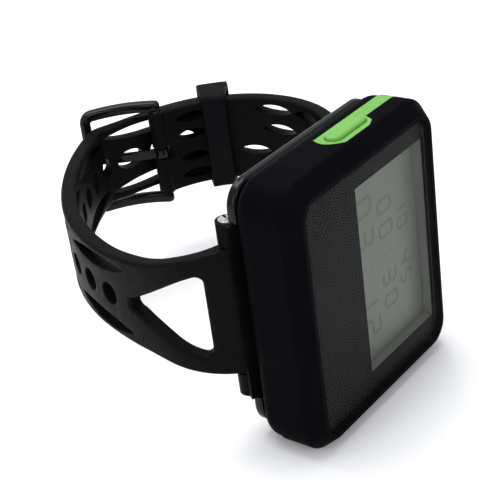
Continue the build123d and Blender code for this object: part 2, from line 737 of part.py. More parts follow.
def delta_opening(side, apex):
    """Three-cornered opening behind a lug, drawn at an offset from the middle, up to its apex."""
    lug_end = 22.2
    near, far = lug_end + 0.34 * (apex - lug_end), lug_end + 0.81 * (apex - lug_end)
    with BuildSketch(EDGE.offset(side)) as opening:
        with BuildLine():
            Polyline((lug_end, 8.0), (near, 6.7), (far, 2.5), (apex, 0.9), (apex, -0.9), (far, -2.5),
                     (near, -6.7), (lug_end, -8.0), close=True)
        make_face()
        fillet(opening.vertices(), 0.7)
    return opening.sketch


def lens_slot(reach, wide):
    """Long slot with curved sides and pointed ends."""
    with BuildSketch() as slot:
        with BuildLine():
            ThreePointArc((-0.5 * reach, 0), (0, 0.5 * wide), (0.5 * reach, 0))
            ThreePointArc((-0.5 * reach, 0), (0, -0.5 * wide), (0.5 * reach, 0))
        make_face()
    return slot.sketch


arm_inner, arm_outer, arm_thick, arm_bow = 10.6, 13.1, 2.6, 1.6
bar_gap = hypot(front_bar[0] - spring_bar[0], front_bar[1] - spring_bar[1])
bar_way = ((front_bar[0] - spring_bar[0]) / bar_gap, (front_bar[1] - spring_bar[1]) / bar_gap)
arm_middle = (
    0.5 * (front_bar[0] + spring_bar[0]) + arm_bow * bar_way[1],
    0.5 * (front_bar[1] + spring_bar[1]) - arm_bow * bar_way[0],
)

# The prong runs from the spring bar, out through a hole of the tail, onto the front bar
prong_tip = (
    front_bar[0] + 1.2 * bar_way[0] + 2.5 * bar_way[1],
    front_bar[1] + 1.2 * bar_way[1] - 2.5 * bar_way[0],
)
prong_knee = (
    spring_bar[0] + 0.35 * bar_gap * bar_way[0],
    spring_bar[1] + 0.35 * bar_gap * bar_way[1],
)


def prong_outline(grow):
    """Plan of the prong, with its eye, grown to cut its way through the tail."""
    with BuildSketch(PLAN.offset(-prong_half - grow)) as plan:
        with BuildLine():
            Spline(spring_bar, prong_knee, prong_tip)
        trace(line_width=1.3 + 2 * grow)
        with Locations(spring_bar):
            Circle(1.7 + grow)
    return plan.sketch


with BuildPart() as strap_lower:
    add(plain_strap(lower_path, (-lug_pin_x, lug_pin_y), strap_lower_half, lower_taper_end))
    # Three-cornered opening behind the lug
    extrude(delta_opening(-40, 38.1), amount=20, mode=Mode.SUBTRACT)
    for number in range(hole_count):
        with BuildSketch(along(lower_path, hole_first + number * hole_pitch)):
            Circle(hole_radius)
        extrude(amount=strap_thick, both=True, mode=Mode.SUBTRACT)
    for number in range(4):
        with BuildSketch(along(lower_path, hole_first + (3 * number + 0.55) * hole_pitch)):
            with Locations((0, slot_offset), (0, -slot_offset)):
                add(lens_slot(slot_reach, slot_wide))
        extrude(amount=1.6 * strap_thick, both=True, mode=Mode.SUBTRACT)
    extrude(prong_outline(0.25), amount=2 * prong_half + 0.5, mode=Mode.SUBTRACT)
strap_lower.part.label = "strap_lower"
save(strap_lower, "strap_lower")

# Through slots, as (distance from the knuckle, height, length)
upper_slots = [(30.3, 7.5, 10.4), (41.8, 7.5, 10.6), (31.6, 2.6, 10.0), (43.0, 2.6, 9.0), (23.7, -3.2, 8.8),
               (34.6, -2.9, 9.6), (31.5, -7.5, 10.0), (42.5, -7.5, 10.0), (8.6, 7.3, 8.6), (8.2, 2.9, 7.6),
               (8.2, -2.9, 7.6), (8.6, -7.3, 8.6)]
with BuildPart() as strap_upper:
    add(plain_strap(upper_path, (lug_pin_x, lug_pin_y), strap_upper_half, upper_taper_end))
    # Knuckle round the buckle's bar, split for the prong
    with BuildSketch(PLAN.offset(-strap_upper_half)):
        with Locations(spring_bar):
            Circle(knuckle_radius)
    extrude(amount=2 * strap_upper_half)
    with BuildSketch(PLAN.offset(-strap_upper_half)):
        with Locations(spring_bar):
            Circle(spring_bar_radius + fit_gap)
    extrude(amount=2 * strap_upper_half, mode=Mode.SUBTRACT)
    with BuildSketch(PLAN.offset(-prong_half - 0.3)):
        with Locations(spring_bar):
            Circle(knuckle_radius + 1.0)
    extrude(amount=2 * prong_half + 0.6, mode=Mode.SUBTRACT)
    extrude(delta_opening(10, 34.5), amount=40, mode=Mode.SUBTRACT)
    for distance, height, length in upper_slots:
        with BuildSketch(along(upper_path, distance)):
            with Locations((0, height)):
                SlotOverall(length, 2.3)
        extrude(amount=strap_thick, both=True, mode=Mode.SUBTRACT)
strap_upper.part.label = "strap_upper"
save(strap_upper, "strap_upper")

# Buckle ---------------------------------------------------------------------------------------
with BuildPart() as buckle_frame:
    for low in (-arm_outer, arm_inner):
        with BuildSketch(PLAN.offset(low)):
            with BuildLine():
                ThreePointArc(spring_bar, arm_middle, front_bar)
            trace(line_width=arm_thick)
            with Locations(spring_bar, front_bar):
                Circle(0.5 * arm_thick)
        extrude(amount=arm_outer - arm_inner)
    fillet(buckle_frame.faces().filter_by(Axis.Z).edges(), 0.4)
    with BuildSketch(PLAN.offset(-arm_outer + 0.5)):
        with Locations(front_bar):
            Circle(front_bar_radius - 0.25)
    extrude(amount=2 * arm_outer - 1.0)
    with BuildSketch(PLAN.offset(-arm_outer + 0.6)):
        with Locations(spring_bar):
            Circle(spring_bar_radius + fit_gap)
    extrude(amount=2 * arm_outer - 1.2, mode=Mode.SUBTRACT)
buckle_frame.part.label = "buckle_frame"
save(buckle_frame, "buckle_frame")

with BuildPart() as buckle_spring_bar:
    with BuildSketch(PLAN.offset(-arm_outer + 0.7)):
        with Locations(spring_bar):
            Circle(spring_bar_radius)
    extrude(amount=2 * arm_outer - 1.4)
buckle_spring_bar.part.label = "buckle_spring_bar"
save(buckle_spring_bar, "buckle_spring_bar")

with BuildPart() as buckle_prong:
    extrude(prong_outline(0), amount=2 * prong_half)
    with BuildSketch(PLAN.offset(-prong_half)):
        with Locations(spring_bar):
            Circle(spring_bar_radius + fit_gap)
    extrude(amount=2 * prong_half, mode=Mode.SUBTRACT)
buckle_prong.part.label = "buckle_prong"
save(buckle_prong, "buckle_prong")

# Keeper: a loop round both layers, concentric with the bend
keeper_wall, keeper_gap, keeper_angle, keeper_sweep = 1.2, 0.35, 39.8, 13.6
keeper_in = arc_radius - 0.5 * strap_thick - keeper_gap
keeper_out = tail_radius + 0.5 * strap_thick + keeper_gap
with BuildPart() as keeper_loop:
    for radius_in, radius_out, half, mode in (
        (keeper_in - keeper_wall, keeper_out + keeper_wall, strap_upper_half + keeper_gap + keeper_wall, Mode.ADD),
        (keeper_in, keeper_out, strap_upper_half + keeper_gap, Mode.SUBTRACT),
    ):
        with BuildSketch(PLAN.offset(-half)):
            with BuildLine():
                CenterArc((arc_x, arc_y), 0.5 * (radius_in + radius_out), keeper_angle - 0.5 * keeper_sweep,
                          keeper_sweep)
            trace(line_width=radius_out - radius_in)
        extrude(amount=2 * half, mode=mode)
keeper_loop.part.label = "keeper_loop"
save(keeper_loop, "keeper_loop")
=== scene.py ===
"""Looks of a wrist interval timer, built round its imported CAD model, in metres.

x, depth and height are measured in millimetres from the middle of the window's lens: x towards 12 o'clock,
depth from the window back to the buckle, height towards 9 o'clock.
"""
from math import atan2, cos, pi, radians, sin

import bmesh
import bpy
from mathutils import Matrix, Quaternion, Vector


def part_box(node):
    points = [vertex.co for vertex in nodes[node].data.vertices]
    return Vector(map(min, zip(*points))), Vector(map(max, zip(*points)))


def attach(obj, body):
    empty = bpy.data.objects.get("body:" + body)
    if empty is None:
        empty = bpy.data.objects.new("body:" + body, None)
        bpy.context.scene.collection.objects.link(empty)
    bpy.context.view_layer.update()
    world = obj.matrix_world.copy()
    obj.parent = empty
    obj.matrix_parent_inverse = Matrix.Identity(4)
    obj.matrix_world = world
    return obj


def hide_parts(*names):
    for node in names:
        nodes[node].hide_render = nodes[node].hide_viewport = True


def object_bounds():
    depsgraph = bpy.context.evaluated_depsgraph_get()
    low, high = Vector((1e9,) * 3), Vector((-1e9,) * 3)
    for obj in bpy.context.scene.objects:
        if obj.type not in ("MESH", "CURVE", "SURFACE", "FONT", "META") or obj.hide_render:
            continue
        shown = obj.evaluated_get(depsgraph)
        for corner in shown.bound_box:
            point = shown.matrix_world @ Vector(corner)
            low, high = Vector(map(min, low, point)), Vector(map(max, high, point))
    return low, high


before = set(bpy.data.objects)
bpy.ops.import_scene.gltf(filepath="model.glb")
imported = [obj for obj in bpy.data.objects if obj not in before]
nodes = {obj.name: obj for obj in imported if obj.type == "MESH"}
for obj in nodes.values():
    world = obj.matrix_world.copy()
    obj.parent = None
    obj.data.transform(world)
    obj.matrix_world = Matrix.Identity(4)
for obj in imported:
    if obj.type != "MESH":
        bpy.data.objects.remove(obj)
cad_low, cad_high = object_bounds()
MM = 0.001

lens_low, lens_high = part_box("lens")
ORIGIN = Vector((0.5 * (lens_low.x + lens_high.x), lens_low.y, 0.5 * (lens_low.z + lens_high.z)))


def place(x, depth, height):
    """Point of the row frame, from millimetres about the lens."""
    return ORIGIN + MM * Vector((x, depth, height))


# Camera ---------------------------------------------------------------------------------------
VIEW_TURN, VIEW_RISE, VIEW_ROLL = radians(-49.81), radians(28.32), radians(-8.0)
CAMERA_AT = (-187.43, -126.98, 130.91)

back = Vector((sin(VIEW_TURN) * cos(VIEW_RISE), -cos(VIEW_TURN) * cos(VIEW_RISE), sin(VIEW_RISE)))
camera = bpy.data.objects.new("camera", bpy.data.cameras.new("camera"))
bpy.context.scene.collection.objects.link(camera)
camera.rotation_mode = "QUATERNION"
camera.rotation_quaternion = Quaternion(back, VIEW_ROLL) @ (-back).to_track_quat("-Z", "Y")
camera.location = place(*CAMERA_AT)
camera.data.sensor_width = 36.0
camera.data.lens = 97.85
camera.data.clip_start, camera.data.clip_end = 0.01, 20.0
bpy.context.scene.camera = camera


# Light and floor ------------------------------------------------------------------------------
def softbox(name, at, towards, width, height, power):
    """Rectangular studio light, placed and aimed by points in metres."""
    data = bpy.data.lights.new(name, "AREA")
    data.shape, data.size, data.size_y, data.energy = "RECTANGLE", width, height, power
    light = bpy.data.objects.new(name, data)
    bpy.context.scene.collection.objects.link(light)
    light.location = at
    light.rotation_mode = "QUATERNION"
    light.rotation_quaternion = (Vector(towards) - Vector(at)).to_track_quat("-Z", "Y")
    return light


middle = 0.5 * (cad_low + cad_high)
softbox("top_light", middle + Vector((0.05, 0.12, 0.55)), middle, 0.45, 0.45, 3.4)
softbox("front_light", middle + Vector((-0.25, -0.6, 0.35)), middle, 0.35, 0.35, 1.2)
softbox("left_light", middle + Vector((-0.6, 0.05, 0.3)), middle, 0.3, 0.5, 1.0)

world = bpy.data.worlds.new("studio")
bpy.context.scene.world = world
world.use_nodes = True
world.node_tree.nodes["Background"].inputs["Color"].default_value = (0.93, 0.95, 1.0, 1.0)
world.node_tree.nodes["Background"].inputs["Strength"].default_value = 0.7
bpy.context.scene.view_settings.view_transform = "Standard"

# Materials ------------------------------------------------------------------------------------


def shader(name):
    """New material; returns it, its node tree and its Principled shader."""
    material = bpy.data.materials.new(name)
    material.use_nodes = True
    return material, material.node_tree, material.node_tree.nodes["Principled BSDF"]


def noise(tree, scale, detail=3.0, stretch=(1, 1, 1)):
    """Noise over the object's own coordinates, scale in cells per metre."""
    place_by = tree.nodes.new("ShaderNodeTexCoord")
    shape = tree.nodes.new("ShaderNodeMapping")
    shape.inputs["Scale"].default_value = stretch
    texture = tree.nodes.new("ShaderNodeTexNoise")
    texture.inputs["Scale"].default_value = scale
    texture.inputs["Detail"].default_value = detail
    tree.links.new(place_by.outputs["Object"], shape.inputs["Vector"])
    tree.links.new(shape.outputs["Vector"], texture.inputs["Vector"])
    return texture.outputs["Fac"]


def ramp(tree, source, stops):
    """Colours along a factor; stops are (position, colour)."""
    node = tree.nodes.new("ShaderNodeValToRGB")
    tree.links.new(source, node.inputs["Fac"])
    elements = node.color_ramp.elements
    while len(elements) < len(stops):
        elements.new(0.5)
    for element, (position, colour) in zip(elements, stops):
        element.position = position
        element.color = (*colour, 1.0)
    return node.outputs["Color"]


def spread(tree, source, low, high):
    """Map a factor's middle half onto a range."""
    node = tree.nodes.new("ShaderNodeMapRange")
    node.inputs["From Min"].default_value, node.inputs["From Max"].default_value = 0.3, 0.7
    node.inputs["To Min"].default_value, node.inputs["To Max"].default_value = low, high
    tree.links.new(source, node.inputs["Value"])
    return node.outputs["Result"]


def bump(tree, height, shader_node, distance, strength=0.5, after=None):
    """Bump from a height, on top of an earlier bump."""
    node = tree.nodes.new("ShaderNodeBump")
    node.inputs["Distance"].default_value = distance
    node.inputs["Strength"].default_value = strength
    tree.links.new(height, node.inputs["Height"])
    if after is not None:
        tree.links.new(after.outputs["Normal"], node.inputs["Normal"])
    tree.links.new(node.outputs["Normal"], shader_node.inputs["Normal"])
    return node


def moulded(name, colour, lighter, rough, specular, grain, depth, coat=0.0):
    """Moulded plastic or rubber: drifting colour and gloss over a fine grain."""
    material, tree, surface = shader(name)
    tree.links.new(
        ramp(tree, noise(tree, 120.0, 4.0), [(0.3, colour), (0.72, lighter)]), surface.inputs["Base Color"]
    )
    tree.links.new(
        spread(tree, noise(tree, 420.0), rough[0], rough[1]), surface.inputs["Roughness"]
    )
    surface.inputs["Specular IOR Level"].default_value = specular
    surface.inputs["Coat Weight"].default_value = coat
    surface.inputs["Coat Roughness"].default_value = 0.12
    waves = bump(tree, noise(tree, 260.0, 1.0), surface, 0.00003, 0.5)
    bump(tree, noise(tree, grain, 2.0), surface, depth, 0.6, after=waves)
    return material


def metal(name, colour, rough, stretch):
    """Turned or plated metal with fine streaks."""
    material, tree, surface = shader(name)
    streaks = noise(tree, 1800.0, 3.0, stretch)
    darker = tuple(0.72 * part for part in colour)
    tree.links.new(ramp(tree, streaks, [(0.3, darker), (0.7, colour)]), surface.inputs["Base Color"])
    tree.links.new(spread(tree, streaks, rough[0], rough[1]), surface.inputs["Roughness"])
    surface.inputs["Metallic"].default_value = 1.0
    bump(tree, streaks, surface, 0.00001, 0.4)
    return material


SHINE = {"soft": 0.012, "satin": 0.03, "rubber": 0.04, "gloss": 0.2}
case_skin = moulded(
    "case_soft_touch", (0.0015, 0.0016, 0.0024), (0.0021, 0.0022, 0.0031), (0.48, 0.60), SHINE["soft"],
    grain=7000.0, depth=0.00001,
)
cover_skin = moulded(
    "cover_matt", (0.0014, 0.0015, 0.0023), (0.0020, 0.0021, 0.0030), (0.45, 0.58), SHINE["soft"],
    grain=6000.0, depth=0.000012,
)
gloss_skin = moulded(
    "carrier_polished", (0.0016, 0.0017, 0.0021), (0.0024, 0.0026, 0.0030), (0.14, 0.24), SHINE["gloss"],
    grain=3000.0, depth=0.000002,
)
rail_skin = moulded(
    "rail_satin", (0.0022, 0.0023, 0.0026), (0.0030, 0.0032, 0.0035), (0.34, 0.46), SHINE["satin"],
    grain=5000.0, depth=0.00001,
)
strap_skin = moulded(
    "strap_rubber", (0.0022, 0.0024, 0.0025), (0.0031, 0.0033, 0.0034), (0.40, 0.52), SHINE["rubber"],
    grain=5200.0, depth=0.000014,
)
keeper_skin = moulded(
    "keeper_rubber", (0.0034, 0.0036, 0.0043), (0.0044, 0.0047, 0.0055), (0.5, 0.62), SHINE["rubber"],
    grain=5200.0, depth=0.000014,
)
green_skin = moulded(
    "green_silicone", (0.122, 0.335, 0.056), (0.142, 0.372, 0.066), (0.38, 0.5), 0.3,
    grain=4000.0, depth=0.00001,
)
bezel_skin = moulded(
    "bezel_satin", (0.16, 0.167, 0.155), (0.18, 0.187, 0.175), (0.4, 0.5), 0.2, grain=4000.0, depth=0.000008
)
chip_skin = moulded(
    "chip_resin", (0.01, 0.01, 0.011), (0.016, 0.016, 0.017), (0.45, 0.6), 0.4, grain=5000.0, depth=0.00001
)
board_skin = moulded(
    "solder_mask", (0.008, 0.07, 0.025), (0.012, 0.1, 0.035), (0.25, 0.4), 0.5, grain=2500.0, depth=0.000006
)
seal_skin = moulded(
    "seal_rubber", (0.01, 0.01, 0.011), (0.014, 0.014, 0.015), (0.5, 0.6), 0.2, grain=4000.0, depth=0.00001
)
zebra_skin = moulded(
    "contact_rubber", (0.03, 0.03, 0.032), (0.06, 0.06, 0.06), (0.5, 0.6), 0.4, grain=4000.0, depth=0.00001
)
cell_skin = moulded(
    "cell_wrap", (0.08, 0.085, 0.1), (0.11, 0.115, 0.13), (0.25, 0.35), 0.5,
    grain=2500.0, depth=0.000004, coat=0.4,
)
plated = metal("plated_steel", (0.62, 0.61, 0.58), (0.22, 0.38), (1, 1, 8))
turned_steel = metal("turned_steel", (0.78, 0.76, 0.72), (0.18, 0.34), (1, 1, 1))
foil = metal("foil", (0.75, 0.74, 0.7), (0.3, 0.45), (1, 8, 1))


def display_glass():
    """Reflective LCD: grey-green, faintly cloudy, with a soft sheen."""
    material, tree, surface = shader("lcd_film")
    clouds = noise(tree, 55.0, 2.0)
    tree.links.new(
        ramp(tree, clouds, [(0.3, (0.124, 0.135, 0.108)), (0.7, (0.134, 0.145, 0.117))]),
        surface.inputs["Base Color"],
    )
    tree.links.new(spread(tree, noise(tree, 300.0), 0.3, 0.4), surface.inputs["Roughness"])
    surface.inputs["Specular IOR Level"].default_value = 0.3
    bump(tree, noise(tree, 6000.0), surface, 0.000003, 0.3)
    return material


def window_print():
    """Dark grey print behind the window, smooth, with a slow drift of tone."""
    material, tree, surface = shader("window_print")
    tree.links.new(
        ramp(
            tree, noise(tree, 30.0, 1.0),
            [(0.3, (0.0035, 0.0040, 0.0038)), (0.7, (0.0055, 0.0060, 0.0058))],
        ),
        surface.inputs["Base Color"],
    )
    tree.links.new(spread(tree, noise(tree, 200.0), 0.3, 0.36), surface.inputs["Roughness"])
    surface.inputs["Specular IOR Level"].default_value = 0.03
    return material


def window_glass():
    """Clear polished window: nearly invisible, with a trace of grey and of scuffing."""
    material, tree, surface = shader("window_clear")
    tree.links.new(
        ramp(tree, noise(tree, 200.0), [(0.3, (0.02, 0.021, 0.022)), (0.7, (0.03, 0.031, 0.032))]),
        surface.inputs["Base Color"],
    )
    tree.links.new(spread(tree, noise(tree, 60.0), 0.10, 0.13), surface.inputs["Roughness"])
    surface.inputs["Alpha"].default_value = 0.05
    surface.inputs["Specular IOR Level"].default_value = 0.2
    return material


lcd_skin = display_glass()
lens_skin = window_glass()
mask_skin = window_print()
segment_skin = moulded(
    "lcd_segment", (0.096, 0.105, 0.084), (0.102, 0.111, 0.090), (0.35, 0.45), 0.2,
    grain=4000.0, depth=0.000003,
)

CAD_SKINS = {
    "front_case": case_skin, "rear_cover": cover_skin, "battery_door": cover_skin, "case_gasket": seal_skin,
    "lens": lens_skin, "window_mask": mask_skin, "lcd_bezel": bezel_skin, "lcd_panel": lcd_skin,
    "lcd_reflector": foil, "zebra_connectors": zebra_skin, "circuit_board": board_skin,
    "controller_chip": chip_skin, "buzzer": chip_skin, "vibration_motor": plated, "motor_weight": plated,
    "battery": cell_skin, "battery_spring": plated, "battery_contact": plated, "button_strip": green_skin,
    "left_button": green_skin, "top_button_a": green_skin, "top_button_b": green_skin,
    "tactile_switches": chip_skin, "case_screws": turned_steel, "carrier_plate": gloss_skin,
    "mounting_tongue": cover_skin, "tongue_screws": turned_steel, "lug_rail_lower": rail_skin,
    "lug_rail_upper": rail_skin, "rail_screws": turned_steel, "lug_pin_lower": turned_steel,
    "lug_pin_upper": turned_steel, "strap_lower": strap_skin, "strap_upper": strap_skin,
    "buckle_frame": gloss_skin, "buckle_prong": gloss_skin, "buckle_spring_bar": turned_steel,
    "keeper_loop": keeper_skin,
}
for node_name, skin in CAD_SKINS.items():
    nodes[node_name].data.materials.clear()
    nodes[node_name].data.materials.append(skin)

# Mesh helpers ---------------------------------------------------------------------------------
TO_ROW = Matrix.Translation(ORIGIN) @ Matrix.Scale(MM, 4)


def steps(low, high, count):
    """Evenly spaced values, both ends included."""
    return [low + (high - low) * i / count for i in range(count + 1)]


def make_piece(name, mesh, skin, body, sharp=35.0):
    """Turn a bmesh in millimetres about the lens into a finished piece that rides on a body."""
    bmesh.ops.recalc_face_normals(mesh, faces=mesh.faces)
    bmesh.ops.transform(mesh, matrix=TO_ROW, verts=mesh.verts)
    data = bpy.data.meshes.new(name)
    mesh.to_mesh(data)
    mesh.free()
    data.shade_smooth()
    data.set_sharp_from_angle(angle=radians(sharp))
    data.materials.append(skin)
    piece = bpy.data.objects.new(name, data)
    bpy.context.scene.collection.objects.link(piece)
    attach(piece, body)
    return piece


def skin_rings(mesh, rings, closed=True, capped=True):
    """Quads between rings of points, with a fan over each end if capped."""
    loops = [[mesh.verts.new(point) for point in ring] for ring in rings]
    for near, far in zip(loops, loops[1:]):
        count = len(near)
        for i in range(count if closed else count - 1):
            j = (i + 1) % count
            mesh.faces.new((near[i], near[j], far[j], far[i]))
    if capped:
        for loop in (loops[0], loops[-1]):
            centre = mesh.verts.new(sum((vert.co for vert in loop), Vector()) / len(loop))
            for i in range(len(loop)):
                mesh.faces.new((loop[i - 1], loop[i], centre))
    return loops


def rounded_box_loop(half_a, half_b, corner, count=6):
    """Points of a rectangle with round corners, as pairs, counter-clockwise."""
    loop = []
    for quarter, (sign_a, sign_b) in enumerate(((1, 1), (-1, 1), (-1, -1), (1, -1))):
        for angle in steps(quarter * pi / 2, (quarter + 1) * pi / 2, count):
            loop.append((sign_a * (half_a - corner) + corner * cos(angle),
                         sign_b * (half_b - corner) + corner * sin(angle)))
    return loop


def barrel(mesh, x, depth, low, high, radius, rounding, sides=40):
    """Upright cylinder with rounded rims, from height low to high."""
    quarter = steps(0, pi / 2, 5)
    core = radius - rounding
    outline = [(core + rounding * sin(a), low + rounding - rounding * cos(a)) for a in quarter]
    outline += [(core + rounding * cos(a), high - rounding + rounding * sin(a)) for a in quarter]
    rings = []
    for ring_radius, height in outline:
        ring = []
        for i in range(sides):
            angle = 2 * pi * i / sides
            ring.append(Vector((x + ring_radius * cos(angle), depth + ring_radius * sin(angle), height)))
        rings.append(ring)
    skin_rings(mesh, rings)


# Middle lines of the two straps ---------------------------------------------------------------
STRAP_THICK = 3.3
BEND_X, BEND_DEPTH, BEND_RADIUS = 20.8, 54.0, 26.0      # the 12 o'clock strap's bend
TAIL_RADIUS = BEND_RADIUS + STRAP_THICK + 0.45
BAR_ANGLE, UPPER_END, TAIL_FROM, TAIL_TO = 72.0, -52.0, 62.0, 35.5
LOWER_PIN, UPPER_PIN = Vector((-20.9, 18.2)), Vector((20.9, 18.2))


def on_bend(radius, angle):
    """Point at an angle, in degrees, about the centre of the 12 o'clock strap's bend."""
    return Vector((BEND_X + radius * cos(radians(angle)), BEND_DEPTH + radius * sin(radians(angle))))


def arc_about(centre, radius, first, last, count=60):
    """Points of an arc between two angles in degrees."""
    return [centre + radius * Vector((cos(radians(a)), sin(radians(a)))) for a in steps(first, last, count)]


def arc_to(start, end, heading, count=60):
    """Points of the arc that leaves start along heading and ends at end."""
    side = Vector((-heading[1], heading[0])).normalized()
    across = end - start
    reach = across.length_squared / (2 * across.dot(side))
    centre = start + side * reach
    first = atan2(start.y - centre.y, start.x - centre.x)
    turn = 2 * atan2(abs(across.dot(side)), Vector(heading).normalized().dot(across))
    turn = turn if reach > 0 else -turn
    return [centre + abs(reach) * Vector((cos(first + a), sin(first + a))) for a in steps(0, turn, count)]


def smooth_through(points, first_heading, last_heading, count=14):
    """Hermite curve through the points, level with its neighbours' chords in between."""
    headings = [Vector(first_heading)]
    headings += [after - before for before, after in zip(points, points[2:])]
    headings += [Vector(last_heading)]
    line = []
    for i in range(len(points) - 1):
        start, end = points[i], points[i + 1]
        span = (end - start).length
        leave, arrive = headings[i].normalized() * span, headings[i + 1].normalized() * span
        for t in steps(0, 1, count)[:-1]:
            line.append(
                (2 * t**3 - 3 * t**2 + 1) * start + (t**3 - 2 * t**2 + t) * leave
                + (3 * t**2 - 2 * t**3) * end + (t**3 - t**2) * arrive
            )
    return line + [points[-1]]


class Path:
    """Polyline in the plane of x and depth, measured by its length."""

    def __init__(self, *stretches):
        self.points = [stretches[0][0]]
        for stretch in stretches:
            self.points += [point for point in stretch if (point - self.points[-1]).length > 1e-6]
        self.reached = [0.0]
        for before, after in zip(self.points, self.points[1:]):
            self.reached.append(self.reached[-1] + (after - before).length)
        self.length = self.reached[-1]

    def at(self, distance):
        """Point and unit heading at a distance; straight on past either end."""
        i = 0
        while i < len(self.points) - 2 and self.reached[i + 1] < distance:
            i += 1
        before, after = self.points[i], self.points[i + 1]
        heading = (after - before).normalized()
        return before + heading * (distance - self.reached[i]), heading


tail_heading = (sin(radians(TAIL_FROM)), -cos(radians(TAIL_FROM)))
bend_centre = Vector((BEND_X, BEND_DEPTH))
lower_path = Path(
    arc_to(Vector((-28.05, 30.5)), LOWER_PIN, (0, -1))[::-1],
    arc_to(Vector((-28.05, 30.5)), Vector((-13.3, 67.6)), (0, 1)),
    arc_to(Vector((-13.3, 67.6)), Vector((14.0, 86.3)), (0.687, 0.727)),
    smooth_through(
        [Vector((14.0, 86.3)), Vector((17.0, 87.2)), Vector((20.2, 86.1)), on_bend(TAIL_RADIUS, TAIL_FROM)],
        (0.9, 0.43), tail_heading,
    ),
    arc_about(bend_centre, TAIL_RADIUS, TAIL_FROM, TAIL_TO),
)
upper_path = Path(
    arc_about(bend_centre, BEND_RADIUS, BAR_ANGLE, UPPER_END, 160),
    arc_to(on_bend(BEND_RADIUS, UPPER_END), UPPER_PIN,
           (sin(radians(UPPER_END)), -cos(radians(UPPER_END)))),
)


# Straps ---------------------------------------------------------------------------------------
EDGE_ROUND, DELTA_ROUND, HOLE_ROUND = 0.8, 0.8, 0.25
SHARPEST_MITRE = 0.35
CUT_EVERY = 1.15                  # the flat bands are cut this finely before they are bent


def moved_in(loop, inset):
    """Flat loop moved to its left by an inset, with mitred corners."""
    moved = []
    for i, point in enumerate(loop):
        before = (point - loop[i - 1]).normalized()
        after = (loop[(i + 1) % len(loop)] - point).normalized()
        side_before, side_after = Vector((-before.y, before.x)), Vector((-after.y, after.x))
        mitre = max(SHARPEST_MITRE, 1 + side_before.dot(side_after))
        moved.append(point + (side_before + side_after) * (inset / mitre))
    return moved


def edge_profile(rounding):
    """(inset, height) pairs from the middle of an edge up to the flat face."""
    half = 0.5 * STRAP_THICK
    return [(rounding * (1 - cos(a)), half - rounding + rounding * sin(a)) for a in steps(0, pi / 2, 5)]


def punched_band(loops, cuts_every, length):
    """Flat band in (along, across, height): loops are (points, rounding), the outside first."""
    mesh = bmesh.new()
    rims = {1: [], -1: []}
    for points, rounding in loops:
        pairs = edge_profile(rounding)
        profile = [(inset, -height) for inset, height in pairs[::-1]] + pairs
        rings = []
        for inset, height in profile:
            rings.append([(point.x, point.y, height) for point in moved_in(points, inset)])
        made = skin_rings(mesh, rings, capped=False)
        for face, ring in ((-1, made[0]), (1, made[-1])):
            for i in range(len(ring)):
                rims[face].append(mesh.edges.get((ring[i - 1], ring[i])))
    for edges in rims.values():
        bmesh.ops.triangle_fill(mesh, use_beauty=True, edges=edges, normal=(0, 0, 1))
    cut = cuts_every
    while cut < length:
        bmesh.ops.bisect_plane(
            mesh, geom=mesh.verts[:] + mesh.edges[:] + mesh.faces[:], dist=1e-5,
            plane_co=(cut, 0, 0), plane_no=(1, 0, 0),
        )
        cut += cuts_every
    return mesh


def bend_along(mesh, path, thickness_at):
    """Wrap a flat band onto a path; its height leaves the path to the right."""
    for vert in mesh.verts:
        point, heading = path.at(vert.co.x)
        out = Vector((-heading.y, heading.x))
        height = vert.co.z * thickness_at(vert.co.x)
        vert.co = Vector((point.x + out.x * height, point.y + out.y * height, vert.co.y))


def slope_at(points, k):
    """Slope of a smooth curve at its k-th point; level at both ends."""
    if k in (0, len(points) - 1):
        return 0.0
    (before, low), (after, high) = points[k - 1], points[k + 1]
    return (high - low) / (after - before)


def smooth_half(points, distance):
    """Half width at a distance, by a smooth curve through a few (distance, half width) points."""
    if distance <= points[0][0]:
        return points[0][1]
    if distance >= points[-1][0]:
        return points[-1][1]
    i = max(k for k in range(len(points) - 1) if points[k][0] <= distance)
    (start, near_half), (end, far_half) = points[i], points[i + 1]
    span = end - start
    t = (distance - start) / span
    return (
        (2 * t**3 - 3 * t**2 + 1) * near_half + (t**3 - 2 * t**2 + t) * span * slope_at(points, i)
        + (3 * t**2 - 2 * t**3) * far_half + (t**3 - t**2) * span * slope_at(points, i + 1)
    )


LUG_HALF, LOWER_HALF, UPPER_HALF = 13.65, 9.25, 10.4
LOWER_FLARE = [(0, LUG_HALF), (3, 13.45), (10.8, 11.95), (15.7, 10.75), (20, 10.0), (32, LOWER_HALF)]
UPPER_FLARE = [(0, LUG_HALF), (3, 13.45), (10.8, 11.95), (15.7, 11.1), (20, 10.75), (30, UPPER_HALF)]
DELTA_FLARE = [(6.0, 8.9), (9.0, 8.25), (12.0, 6.9), (15.5, 4.9), (19.5, 2.7), (22.6, 1.3)]


def circle(centre, radius_along, radius_across, count=32):
    """Clockwise ellipse, as a hole."""
    turns = steps(0, 2 * pi, count)[:-1]
    return [centre + Vector((radius_along * cos(a), -radius_across * sin(a))) for a in turns]


def leaf(centre, reach, wide, tilt, count=14):
    """Clockwise long hole with curved sides that meet in narrow ends; tilt in degrees."""
    side = []
    for t in steps(-1, 1, count):
        side.append(Vector((0.5 * reach * t, 0.5 * wide * (1 - abs(t) ** 2.2) + 0.12)))
    loop = side + [Vector((-point.x, -point.y)) for point in side]
    turn = Matrix.Rotation(radians(tilt), 2)
    return [centre + turn @ point for point in loop]


